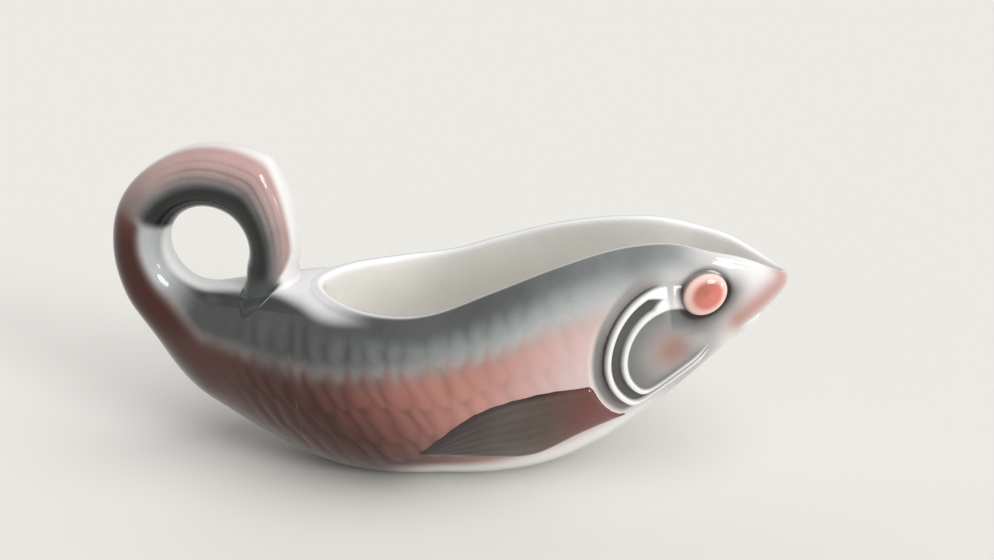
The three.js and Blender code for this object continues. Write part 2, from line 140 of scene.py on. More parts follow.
@dataclass(frozen=True)
class FishForm:
    """Main form of the fish: hull, mouth and bowl.

    Lists run at even stations from the tail seam to the beak, as shares of the main sizes. The
    mouth's list runs at even angles from its back round to the beak.
    """

    length: float = 206.0
    half_beam: float = 39.0
    head_height: float = 91.0
    lip: float = 4.4
    lip_crest: float = 0.4
    floor: float = 6.0
    foot_sink: float = 2.4
    seam_x: float = -86.2
    beam: Curve = Curve((0.52, 0.73, 0.9, 0.985, 1, 0.955, 0.87, 0.76, 0.64, 0.47, 0.3))
    widest: Curve = Curve((0.52, 0.51, 0.5, 0.5, 0.51, 0.53, 0.57, 0.63, 0.7, 0.76, 0.82))
    crown: Curve = Curve(
        (0.77, 0.785, 0.78, 0.77, 0.79, 0.865, 0.94, 0.99, 0.996, 0.94, 0.83)
    )
    keel: Curve = Curve((0.29, 0.147, 0.04, 0, 0, 0, 0.045, 0.165, 0.353, 0.58, 0.805))
    fullness: Curve = Curve((2, 2.4, 3, 3, 2.8, 2.5, 2.3, 2.25, 2.5, 2.5, 2.2))
    mouth: Curve = Curve(
        (0, 0.42, 0.73, 0.89, 0.842, 0.771, 0.68, 0.715, 0.9, 0.95, 0.95)
    )
    belly_fullness: float = 2.1
    beak_rounding: float = 0.1
    beak_blunt: float = 0.995
    mouth_start: float = 0.172
    bowl_start: float = 0.19
    lip_ease: float = 2.4
    floor_back: float = 0.14
    floor_front: float = 0.56
    floor_width: float = 0.25
    bowl_bulge: float = 0.8
    bowl_fullness: float = 2.3
    spout_fullness: float = 1.05
    spout_round: float = 0.55
    spout_turn: Span = (0.55, 0.92)
    brow_at: float = 0.845
    brow_length: float = 0.044
    brow_dip: float = 0.85
    brow_spread: float = 1.9

    def along(self, x: Array) -> Array:
        """Share of the hull's length at each x."""
        return (np.asarray(x, float) - self.seam_x) / self.length

    def rim_station(self, angle: Array) -> Array:
        """Share of the hull's length at an angle round the mouth, 0 at its back."""
        return lerp(self.mouth_start, 1.0, (1.0 - np.cos(angle)) / 2.0)

    def station(self, along: Array) -> Station:
        """Section sizes at shares of the hull's length."""
        along = np.asarray(along, float)
        nose = np.maximum(self.beak_blunt * (1 - (1 - along) / self.beak_rounding), 0.0)
        half = self.half_beam * self.beam.at(along) * quarter(nose, 2.0)
        cosine = 1 - 2 * (along - self.mouth_start) / (1 - self.mouth_start)
        turn = np.arccos(np.clip(cosine, -1.0, 1.0)) / math.pi
        rim = half * np.where(along > self.mouth_start, self.mouth.at(turn), 0.0)
        rim = rim + self.brow_spread * self.brow(along)
        level = self.head_height * self.widest.at(along)
        top = self.rim_height(along)
        bottom = self.head_height * self.keel.at(along) - self.foot_sink
        drop = self.lip / 2 * (rim / half) ** 2
        power = self.fullness.at(along)
        rise = (top - drop - level) / quarter(rim / half, power)
        x = self.seam_x + self.length * along
        return Station(x, half, rim, level, top, bottom, drop, power, rise)

    def flank(self, x: Array, z: Array) -> Array:
        """Half-width of the hull at places on its side view."""
        s = self.station(self.along(x))
        up = z > s.level
        share = np.where(up, (z - s.level) / s.rise, (s.level - z) / (s.level - s.bottom))
        return s.half * quarter(share, np.where(up, s.power, self.belly_fullness))

    def skin(self, x: Array, z: Array, lift: Array, side: Side) -> Array:
        """Points that stand over the flank.

        Args:
            x: Places along the fish.
            z: Heights on the side view.
            lift: Distance from the flank, square to it.
            side: Flank that carries the points.

        Returns:
            Array of points with a last axis of three.
        """
        step = 0.05
        y = self.flank(x, z)
        slope_x = (self.flank(x + step, z) - self.flank(x - step, z)) / (2 * step)
        slope_z = (self.flank(x, z + step) - self.flank(x, z - step)) / (2 * step)
        size = np.sqrt(1 + slope_x**2 + slope_z**2)
        out = np.stack(
            [x - slope_x * lift / size, side.value * (y + lift / size), z - slope_z * lift / size],
            axis=-1,
        )
        return out

    def roof(self, x: Array, y: Array) -> Array:
        """Height of the closed back at places seen from above."""
        s = self.station(self.along(x))
        return s.level + s.rise * quarter(np.abs(y) / s.half, s.power)

    def brow(self, along: Array) -> Array:
        """Where the rim dips and spreads over the eye, 0 to 1."""
        return bell(along - self.brow_at, self.brow_length)

    def rim_height(self, along: Array) -> Array:
        """Height of the rim line at shares of the hull's length."""
        return self.head_height * self.crown.at(along) - self.brow_dip * self.brow(along)

    def crown_at(self, x: Array) -> Array:
        """Height of the rim line at each x."""
        return self.rim_height(self.along(x))


FORM = FishForm()


class Sheet:
    """Skin of one piece: warped grids that share their edges, closed into one mesh."""

    def __init__(self, name: str) -> None:
        """Starts an empty skin."""
        self.name = name
        self.bm = bmesh.new()
        self.layers = {key: self.bm.verts.layers.float.new(key) for key in MASKS}
        self.soft = self.bm.verts.layers.float.new("soft")

    def lay(self, points: Array, masks: Masks, soft: Array | None = None) -> None:
        """Adds one grid, warped to an array of points.

        Args:
            points: Rows of points in millimetres.
            masks: Paint masks with the same rows; a mask left out is zero.
            soft: How much each point is relaxed when the skin is closed.
        """
        rows, columns = points.shape[:2]
        made = bmesh.ops.create_grid(
            self.bm, x_segments=columns - 1, y_segments=rows - 1, size=0.5
        )
        for vert in made["verts"]:
            i = round((vert.co.y + 0.5) * (rows - 1))
            j = round((vert.co.x + 0.5) * (columns - 1))
            vert.co = points[i, j] * MM
            for key, values in masks.items():
                vert[self.layers[key]] = float(np.clip(values[i, j], 0.0, 1.0))
            if soft is not None:
                vert[self.soft] = float(soft[i, j])

    def close(self, relax: int = 0) -> None:
        """Merges the grids' edges, fills what is left open and relaxes the soft points."""
        bm = self.bm
        bmesh.ops.remove_doubles(bm, verts=bm.verts, dist=MERGE)
        bmesh.ops.dissolve_degenerate(bm, dist=MERGE, edges=bm.edges)
        rims = [edge for edge in bm.edges if edge.is_boundary]
        for face in bmesh.ops.holes_fill(bm, edges=rims, sides=0)["faces"]:
            for edge in face.edges:
                edge.smooth = False
        soft = [vert for vert in bm.verts if vert[self.soft] > 0.5]
        for _ in range(relax):
            bmesh.ops.smooth_vert(
                bm, verts=soft, factor=0.5, use_axis_x=True, use_axis_y=True, use_axis_z=True
            )
        bmesh.ops.recalc_face_normals(bm, faces=bm.faces)

    def piece(self, node: str, material: bpy.types.Material) -> bpy.types.Object:
        """Turns the skin into an object that stands for a node.

        Args:
            node: CAD node that the piece replaces.
            material: Finish of the piece.

        Returns:
            The new object, riding on the part's one body.
        """
        mesh = bpy.data.meshes.new(self.name)
        self.bm.to_mesh(mesh)
        self.bm.free()
        mesh.polygons.foreach_set("use_smooth", [True] * len(mesh.polygons))
        mesh.materials.append(material)
        made = bpy.data.objects.new(self.name, mesh)
        bpy.context.scene.collection.objects.link(made)
        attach(made, "root")
        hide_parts(node)
        LOG.info("%s: %d faces", self.name, len(mesh.polygons))
        return made


@dataclass(frozen=True)
class GillForm:
    """Gill cover: nested lines that turn round behind the cheek and run out along the jaw.

    Each line has its radius about the centre. A soft edge is the span in which it fades.
    """

    centre: Place = (75.41, 54.51)
    radius: float = 23.3
    stretch: float = 1.11
    pitch: float = 5.5
    ridge_width: float = 2.9
    jaw_angle: float = 37.0
    jaw_drop: float = 9.0
    jaw_step: float = 0.9
    corner: float = 2.2
    run: float = 17.0
    top_angle: float = 86.0
    rim: float = 24.0
    groove_end: float = 95.0
    jaw_overlap: float = 1.0
    moat_inner: Span = (22.4, 23.6)
    moat_outer: Span = (26.2, 28.2)
    ridge_foot: float = 23.6
    foot_width: float = 1.1
    hem_radius: float = 28.3
    hem_width: float = 0.7
    upper_fade: Span = (2.0, 15.0)
    front_fade: Span = (2.0, 9.0)
    back_fade: Span = (-30.0, -26.0)

    def level(self, x: Array, z: Array) -> Array:
        """Which of the nested lines passes through each place, by its radius."""
        jaw = math.radians(self.jaw_angle)
        dx, dz = x - self.centre[0], z - self.centre[1]
        drop = dx * math.sin(jaw) - dz * math.cos(jaw)
        along_jaw = self.radius - (self.jaw_drop - drop) * self.pitch / (2 * self.jaw_step)
        turn = np.hypot(dx, np.where(dz > 0, dz / self.stretch, dz))
        return self.corner * np.logaddexp(turn / self.corner, along_jaw / self.corner)

    def front(self) -> tuple[Array, Array]:
        """Ends of the cover's front edge: behind the eye, and out on the jaw."""
        jaw, top = math.radians(self.jaw_angle), math.radians(self.top_angle)
        centre = np.asarray(self.centre)
        reach = self.rim * np.array([1.0, self.stretch])
        high = centre + reach * np.array([math.cos(top), math.sin(top)])
        forward = np.array([math.cos(jaw), math.sin(jaw)])
        down = np.array([math.sin(jaw), -math.cos(jaw)])
        return high, centre + self.run * forward + (self.jaw_drop + self.jaw_overlap) * down

    def behind(self, x: Array, z: Array) -> Array:
        """Distance behind the cover's front edge."""
        high, low = self.front()
        edge = (low - high) / np.hypot(*(low - high))
        return (x - high[0]) * edge[1] - (z - high[1]) * edge[0]

    def swing(self, x: Array, z: Array) -> Array:
        """Angle about the gill's centre in degrees, 0 towards the beak and 90 upwards."""
        across, up = x - self.centre[0], (z - self.centre[1]) / self.stretch
        return np.degrees(np.arctan2(up, across))

    def low_half(self, z: Array) -> Array:
        """Soft mask of the gill's lower half."""
        return fade(*self.upper_fade, z - self.centre[1])

    def moat(self, x: Array, z: Array) -> Array:
        """Soft groove that runs round the cover's outside."""
        level = self.level(x, z)
        ring = smoothstep(*self.moat_inner, level) * fade(*self.moat_outer, level)
        return ring * self.near(x, z)

    def ridge_foot_shade(self, x: Array, z: Array) -> Array:
        """Soft mask of painted shade at the ridge's foot, in the outer groove beside it."""
        return bell(self.level(x, z) - self.ridge_foot, self.foot_width) * self.near(x, z)

    def hem(self, x: Array, z: Array) -> Array:
        """Thin ridge outside the groove, on the lower half alone."""
        line = bell(self.level(x, z) - self.hem_radius, self.hem_width)
        return line * self.low_half(z) * self.near(x, z)

    def near(self, x: Array, z: Array) -> Array:
        """Soft mask of the flank's part that the gill's lines reach."""
        front = smoothstep(*self.front_fade, self.behind(x, z))
        return front * smoothstep(*self.back_fade, x - self.centre[0])


GILL = GillForm()


@dataclass(frozen=True)
class Paint:
    """Where the sprayed colours, and the shade painted with them, lie on the fish's flank, in its
    side view.

    Spans along the flank are shares of the hull's length, those of belly_low run from the lateral
    line to the keel, and those of the head are millimetres.
    """

    lateral: Curve = Curve(
        (0.6, 0.588, 0.568, 0.585, 0.62, 0.675, 0.762, 0.81, 0.84, 0.86, 0.86)
    )
    border: float = 5.5
    under_border: float = 3.5
    tongue_drop: float = 3.0
    border_spread: Span = (0.0, 0.15)
    band_start: float = 2.5
    band_width: float = 8.0
    band_from: Span = (0.03, 0.14)
    front_span: Span = (0.45, 0.72)
    rear_fade: Span = (0.18, 0.62)
    streak_span: Span = (0.16, 0.4)
    streaks: Span = (0.25, 0.85)
    shade_fade: Span = (0.1, 0.42)
    belly_low: Span = (0.7, 0.84)
    belly_from: Span = (0.28, 0.42)
    glow_from: Span = (0.32, 0.72)
    rear: float = 0.98
    bare_ridge: float = 1.6
    bare_back: float = 2.6
    bare_at: float = 0.215
    bare_length: float = 0.06
    bare_fade: Span = (0.2, 0.31)
    bare_strength: float = 0.82
    shade_top: float = 0.88
    shade_run: float = 0.55
    head_fade: Span = (0.72, 0.83)
    eye: Place = (85.4, 75.8)
    eye_size: tuple[float, float] = (8.2, 6.9)
    eye_tilt: float = 20.0
    eye_ring: float = 1.06
    ring_width: float = 0.15
    eye_shadow_width: float = 0.75
    crown_fall: Span = (1.0, 9.0)
    crown_front: Span = (72.0, 92.0)
    cheek_top: float = 68.0
    cheek_front: Span = (88.0, 98.0)
    cheek_spot: Place = (76.0, 57.2)
    spot_size: float = 7.5
    beak_from: Place = (99.0, 65.0)
    beak_to: Place = (117.0, 76.5)
    beak_width: float = 5.4
    lip_from: Place = (98.6, 60.6)
    lip_to: Place = (107.4, 65.6)
    lip_run: float = 6.0

    def line(self, along: Array) -> Array:
        """Height of the lateral line, the border of grey and pink."""
        return FORM.head_height * self.lateral.at(along)

    def shade(self, low: Array) -> Array:
        """Dusky red under the lateral line, deepened as painted shade towards the keel; low runs
        from 0 on it to 1 on the keel.
        """
        return lerp(self.shade_top, 1.0, smoothstep(0.0, self.shade_run, low))

    def ridge(self, fall: Array, along: Array) -> Array:
        """Bare white along the ridge of the back and round the bowl's end, by the fall from it."""
        width = self.bare_ridge + self.bare_back * bell(along - self.bare_at, self.bare_length)
        behind = fade(*self.bare_fade, along)
        return self.bare_strength * fade(0.1, 1.0, fall / width) * behind

    def eye_radius(self, x: Array, z: Array) -> Array:
        """Distance from the eye's middle, 1 on its edge."""
        tilt = math.radians(self.eye_tilt)
        dx, dz = x - self.eye[0], z - self.eye[1]
        long = dx * math.cos(tilt) + dz * math.sin(tilt)
        high = dz * math.cos(tilt) - dx * math.sin(tilt)
        return np.hypot(long / self.eye_size[0], high / self.eye_size[1])

    def lower_lip(self, x: Array, z: Array) -> Array:
        """Soft mask of the small lower lip under the beak's end."""
        (x0, z0), (x1, z1) = self.lip_from, self.lip_to
        line = z0 + (x - x0) * (z1 - z0) / (x1 - x0)
        ends = smoothstep(x0, x0 + self.lip_run, x) * fade(x1 - 0.6, x1 + 0.5, x)
        return ends * smoothstep(0.0, 0.8, line - z)

    def skin(self, x: Array, z: Array, groove: Array, tongue: Array) -> Masks:
        """Masks of the hull's outside: the scaled flank, and the head in front of it.

        Args:
            x: Places along the fish.
            z: Heights on the side view.
            groove: Painted shade in the grooves between the scales and under the rows' tips, 0 to
                1.
            tongue: Height of the upper row of scales, 0 to 1.

        Returns:
            Masks by name.
        """
        flank, head = self._flank(x, z, groove, tongue), self._head(x, z)
        share = smoothstep(*self.head_fade, FORM.along(x))
        return {key: lerp(flank[key], head[key], share) for key in flank}

    def _beak(self, x: Array, z: Array) -> Array:
        """Pink on the beak: a soft stroke along the jaw up to the tip."""
        (x0, z0), (x1, z1) = self.beak_from, self.beak_to
        run = (x1 - x0) ** 2 + (z1 - z0) ** 2
        share = np.clip(((x - x0) * (x1 - x0) + (z - z0) * (z1 - z0)) / run, 0.0, 1.0)
        away = np.hypot(x - lerp(x0, x1, share), z - lerp(z0, z1, share))
        return bell(away, self.beak_width) * (1 - self.lower_lip(x, z))

    def _head(self, x: Array, z: Array) -> Masks:
        """Masks of the head in front of the gill."""
        eye = self.eye_radius(x, z)
        s = FORM.station(FORM.along(x))
        ring = bell(eye - self.eye_ring, self.ring_width)
        # painted shadow round the eye boss, strongest under it, in grey, dark grey, pink and dusk
        under = fade(-2.0, 7.0, z - self.eye[1])
        eye_shadow = bell(np.maximum(eye - 1.0, 0.0), self.eye_shadow_width) * lerp(0.25, 1.0, under)
        crown = fade(*self.crown_fall, s.top - s.drop - z)
        crown = crown * fade(*self.crown_front, x)
        cheek = smoothstep(0.0, 6.0, self.cheek_top - z) * fade(*self.cheek_front, x)
        return {
            "grey": 0.14 + 0.9 * eye_shadow + 0.35 * ring + 0.65 * crown + 0.4 * cheek,
            "deep": 0.75 * ring + 0.74 * eye_shadow + 0.5 * crown + 0.1 * cheek,
            "pink": 0.85 * self._beak(x, z) * (1 - ring) + 0.4 * eye_shadow + 0.2 * cheek,
            "dusk": 0.3 * ring + 0.5 * eye_shadow + 0.2 * cheek,
            "pale": 0.8 * self.lower_lip(x, z),
        }

    def _flank(self, x: Array, z: Array, groove: Array, tongue: Array) -> Masks:
        """Masks of the scaled flank; the arguments are those of skin."""
        u = FORM.along(x)
        s = FORM.station(u)
        line = self.line(u)
        below = self.border + self.under_border * smoothstep(*self.border_spread, u)
        rough = tongue - PLAIN_TONGUE
        grey = smoothstep(-below, self.border, z - line + self.tongue_drop * rough)
        under_rim = s.top - s.drop - z
        band = bell(np.maximum(under_rim - self.band_start, 0.0), self.band_width)
        band = band * smoothstep(*self.band_from, u)
        front = smoothstep(*self.front_span, u)
        rear = fade(*self.rear_fade, u)
        streak = 1 - lerp(*self.streaks, smoothstep(*self.streak_span, u)) * rough
        low = (line - z) / np.maximum(line - s.bottom, 1.0)
        # painted shade: the dusky red deepens towards the keel and towards the tail, away from the
        # light
        shade = self.shade(low) * fade(*self.shade_fade, u - 0.2 * low)
        belly = smoothstep(*self.belly_low, low) * smoothstep(*self.belly_from, u)
        moat, hem = GILL.moat(x, z), GILL.hem(x, z)
        plain = 1 - moat
        cover = grey * (0.95 - 0.4 * front * (1 - bell(under_rim, 12.0)))
        return {
            "grey": np.maximum(cover, 0.8 * moat),
            "deep": np.maximum(0.9 * band * (1 - 0.4 * front), self.rear * rear) * plain * streak
            + moat * lerp(0.25, 0.45, GILL.low_half(z)) + 0.4 * GILL.ridge_foot_shade(x, z),
            "pink": (1 - grey**3) * lerp(1.0, 0.6, front) * (1 - belly) * plain + 0.45 * moat,
            # painted shade in the scale grooves deepens the dusk
            "dusk": (shade + 0.25 * groove * (1 - front)) * (1 - grey**3) * plain
            + 0.3 * moat * GILL.low_half(z),
            "pale": 0.3 * bell(low - 0.45, 0.35) * smoothstep(*self.glow_from, u) * plain
            + 0.75 * belly + 0.4 * hem
            + self.ridge(under_rim, u),
        }


PAINT = Paint()


@dataclass(frozen=True)
class ScaleRows:
    """Rows of long scales that lie over each other along the flank like tiles."""

    pitch: float = 6.6
    height: float = 12.5
    rows: int = 3
    lean: float = 0.42
    relief: float = 0.32
    tip: float = 3.4
    jitter: float = 0.18
    sway: float = 0.07
    shallow: float = 0.4
    seed: int = 11
    reach: int = 40
    rim_fade: Span = (2.0, 11.0)
    seam_fade: Span = (0.02, 0.12)
    gill_fade: Span = (28.5, 33.0)
    keel_fade: Span = (5.0, 22.0)
    head_fade: Span = (0.6, 0.74)
    front_span: Span = (0.4, 0.65)
    front_loss: float = 0.35

    def press(self, x: Array, z: Array) -> tuple[Array, Array, Array]:
        """Relief of the scales, and the painted shade in their grooves.

        Args:
            x: Places along the fish.
            z: Heights on the side view.

        Returns:
            Height over the plain flank in millimetres, painted shade in the grooves and under the
            tips from 0 to 1, and the height of the upper row's scales from 0 to 1.
        """
        u = FORM.along(x)
        s = FORM.station(u)
        fall = PAINT.line(u) - z
        crest, root = np.zeros_like(x), np.zeros_like(x)
        for row in range(self.rows, -1, -1):
            phase = x / self.pitch if row == 0 else (x - self.lean * fall) / self.pitch + row / 2
            tongue = self._crest(phase, z, row)
            wave = 0.5 * np.sin(0.9 * phase + 2.3 * row)
            past = fall - row * self.height - self.tip * (tongue - 0.5 + wave)
            over = fade(-0.9, 0.9, past)
            # painted shade under the tips of the row that lies over this one
            root = lerp(np.maximum(root, 0.4 * bell(past, 2.6)), 0.0, over)
            crest = lerp(crest, tongue - 0.012 * np.clip(past + self.height, 0.0, 12.0), over)
        shown = smoothstep(*self.rim_fade, s.top - s.drop - z) * smoothstep(*self.seam_fade, u)
        shown = shown * smoothstep(*self.gill_fade, GILL.level(x, z))
        shown = shown * smoothstep(*self.keel_fade, z - s.bottom)
        shown = shown * fade(*self.head_fade, u)
        shown = shown * (1 - self.front_loss * smoothstep(*self.front_span, u))
        groove = np.clip(1 - crest + root, 0.0, 1.0) * shown
        return self.relief * crest * shown, groove, lerp(PLAIN_TONGUE, tongue, shown)

    def _crest(self, phase: Array, z: Array, row: int) -> Array:
        """Rounded backs of one row of uneven scales, lowest in the grooves."""
        chance = np.random.default_rng(self.seed + row)
        marks = np.arange(-self.reach, self.reach + 1)
        shift = chance.uniform(-self.jitter, self.jitter, marks.size)
        depth = chance.uniform(self.shallow, 1.0, marks.size)
        place = phase + np.interp(phase, marks, shift)
        place = place + self.sway * np.sin(0.45 * z + 2.1 * phase)
        part = 2 * np.abs(place - np.round(place))
        nearest = np.round(place).astype(int) + self.reach
        deepest = depth[np.clip(nearest, 0, 2 * self.reach)]
        return 1 - deepest * (1 - part) ** 1.7


SCALES = ScaleRows()


@dataclass(frozen=True)
class BoatBody:
    """Hull, lip and bowl as one closed skin."""

    stern_steps: int = 44
    mouth_steps: int = 300
    side_steps: int = 100
    upper_fine: float = 0.7
    lip_steps: int = 14
    wall_steps: int = 18
    floor_steps: int = 4
    profile_steps: int = 240
    relax: int = 8
    held: int = 5
    soft_columns: int = 3
    soft_rows: float = 1.2
    lip_paint: Span = (0.28, 0.66)
    lip_cream: Span = (0.7, 1.0)
    moat_depth: float = 0.55
    hem_height: float = 0.28
    socket_depth: float = 0.35
    socket_radius: float = 1.07
    socket_width: float = 0.14
    lower_lip: float = 0.9

    def build(self, material: bpy.types.Material) -> bpy.types.Object:
        """Makes the hull's outside, then its lip and bowl, and closes them together."""
        sheet = Sheet("boat_body_skin")
        points, masks = self._outside()
        soft = np.zeros(points.shape[:2])
        relaxed = self.stern_steps + self.held
        soft[relaxed:, : self.soft_columns] = 1.0
        soft[relaxed:, -self.soft_columns :] = 1.0
        sheet.lay(points, masks, soft)
        edge = {key: mask[self.stern_steps :, 0] for key, mask in masks.items()}
        sheet.lay(*self._inside(edge))
        sheet.close(self.relax)
        return sheet.piece("boat_body", material)

    def _stations(self) -> Array:
        """Shares of the length; they crowd where the mouth turns round."""
        stern = np.linspace(0, FORM.mouth_start, self.stern_steps, endpoint=False)
        turn = np.linspace(0, math.pi, self.mouth_steps + 1)
        return np.concatenate([stern, FORM.rim_station(turn)])

    def _profile(self, s: Station) -> tuple[Array, Array]:
        """Half section from the rim down to the keel, with finer steps near the rim.

        Args:
            s: Sizes of one section.

        Returns:
            Half-widths and heights.
        """
        start = math.acos(float(np.clip((s.rim / s.half) ** (s.power / 2), 0.0, 1.0)))
        upper = start * (1 - np.linspace(0, 1, self.profile_steps) ** 2)
        lower = np.linspace(0, math.pi / 2, self.profile_steps)[1:]
        belly = 2 / FORM.belly_fullness
        level = min(s.level, s.top - s.drop)
        y_up = s.half * np.cos(upper) ** (2 / s.power)
        z_up = level + max(s.rise, 0.0) * np.sin(upper) ** (2 / s.power)
        y_low = s.half * np.maximum(np.cos(lower), 0.0) ** belly
        z_low = level - (level - s.bottom) * np.sin(lower) ** belly
        y, z = np.concatenate([y_up, y_low]), np.concatenate([z_up, z_low])
        run = np.concatenate([[0.0], np.cumsum(np.hypot(np.diff(y), np.diff(z)))])
        share = np.linspace(0, 1, self.side_steps + 1)
        place = run[-1] * lerp(share**2, share, self.upper_fine)
        y, z = np.interp(place, run, y), np.interp(place, run, z)
        y[-1] = 0.0
        return y, z

    def _outside(self) -> tuple[Array, Masks]:
        """Points and masks of the hull's outside, rows along the fish."""
        rows = []
        for share in self._stations():
            y, z = self._profile(FORM.station(share))
            x = np.full_like(y, FORM.seam_x + FORM.length * share)
            rows.append(np.stack([x, -y, z], axis=-1))
        right = np.array(rows)
        x, _, z = np.moveaxis(right, -1, 0)
        scales, groove, tongue = SCALES.press(x, z)
        lift = scales + self._carving(x, z)
        right = right + self._normals(right) * lift[..., None]
        right[:, -1, 1] = 0.0
        right[..., 2] = np.maximum(right[..., 2], 0.0)
        masks = PAINT.skin(x, z, groove, tongue)
        masks["foot"] = fade(0.0, 0.4, z) * smoothstep(0.1, 0.3, FORM.along(x))
        left = right[:, -2::-1] * MIRROR
        both = {key: np.concatenate([m, m[:, -2::-1]], axis=1) for key, m in masks.items()}
        return np.concatenate([right, left], axis=1), both

    def _carving(self, x: Array, z: Array) -> Array:
        """Relief of the gill's outer groove, the eye's socket and the lower lip."""
        socket = bell(PAINT.eye_radius(x, z) - self.socket_radius, self.socket_width)
        low = self.moat_depth * GILL.moat(x, z) + self.socket_depth * socket
        return self.hem_height * GILL.hem(x, z) + self.lower_lip * PAINT.lower_lip(x, z) - low

    @staticmethod
    def _normals(points: Array) -> Array:
        """Outward normals of the right half of the hull."""
        ahead, down = np.gradient(points, axis=0), np.gradient(points, axis=1)
        normal = np.cross(down, ahead)
        return normal / np.maximum(np.linalg.norm(normal, axis=-1, keepdims=True), 1e-9)

    def _inside(self, rim_paint: Masks) -> tuple[Array, Masks, Array]:
        """Points, masks and softness of the lip, the bowl's wall and its floor.

        Args:
            rim_paint: Masks of the hull's outside along its upper edge.

        Returns:
            Points, masks and softness by rows, from the lip's outside to the floor's middle.
        """
        turn = np.linspace(0, math.pi, self.mouth_steps + 1)
        rim = FORM.station(FORM.rim_station(turn))
        share = (1 - np.cos(turn)) / 2
        back = FORM.station(FORM.mouth_start).x + FORM.lip
        front = FORM.station(1.0).x - FORM.lip / 2
        x = lerp(back, front, share)
        ease = FORM.lip * np.tanh(rim.rim / (FORM.lip_ease * FORM.lip))
        edge = np.maximum(rim.rim - ease, 0.0)
        low = FORM.crown_at(x) + FORM.lip_crest - FORM.lip / 2
        outer = np.stack([rim.x, rim.rim, rim.top - rim.drop], axis=-1)
        inner = np.stack([x, edge, low], axis=-1)
        crest = (outer + inner) / 2
        crest[:, 2] = FORM.crown_at(crest[:, 0]) + FORM.lip_crest
        rows = []
        for t in np.linspace(0, math.pi, self.lip_steps + 1):
            base = outer if t < math.pi / 2 else inner
            row = lerp(crest, base, abs(math.cos(t)))
            row[:, 2] = lerp(base[:, 2], crest[:, 2], math.sin(t))
            rows.append(row)
        spout = smoothstep(*FORM.spout_turn, turn / math.pi)
        power = 2 / lerp(FORM.bowl_fullness, FORM.spout_fullness, spout)
        floor_share = lerp(FORM.floor_back, FORM.floor_front, share)
        floor_x = lerp(FORM.station(FORM.bowl_start).x + FORM.lip, front, floor_share)
        floor_z = FORM.floor + np.maximum(FORM.station(FORM.along(floor_x)).bottom, 0.0)
        for t in np.linspace(0, math.pi / 2, self.wall_steps + 1)[1:]:
            out = max(math.cos(t), 0.0) ** power
            swell = FORM.bowl_bulge * (rim.half - rim.rim) * np.sin(turn) * math.sin(2 * t)
            reach = out ** lerp(1.0, FORM.spout_round, spout)
            y = lerp(FORM.floor_width * edge, edge, reach) + swell
            z = lerp(low, floor_z, math.sin(t) ** power)
            rows.append(np.stack([lerp(floor_x, x, out), y, z], axis=-1))
        for t in np.linspace(1, 0, self.floor_steps + 1)[1:]:
            rows.append(np.stack([floor_x, FORM.floor_width * edge * t, floor_z], axis=-1))
        half = np.array(rows)
        points = np.concatenate([half * MIRROR, half[:, ::-1]], axis=1)
        row = np.arange(len(rows))[:, None] / self.lip_steps
        painted = fade(*self.lip_paint, row)
        masks = {key: painted * np.append(m, m[::-1]) for key, m in rim_paint.items()}
        across = np.ones((1, points.shape[1]))
        masks["cream"] = smoothstep(*self.lip_cream, row) * across
        free = np.arange(self.mouth_steps + 1) >= self.held
        return points, masks, (row <= self.soft_rows) * np.append(free, free[::-1])


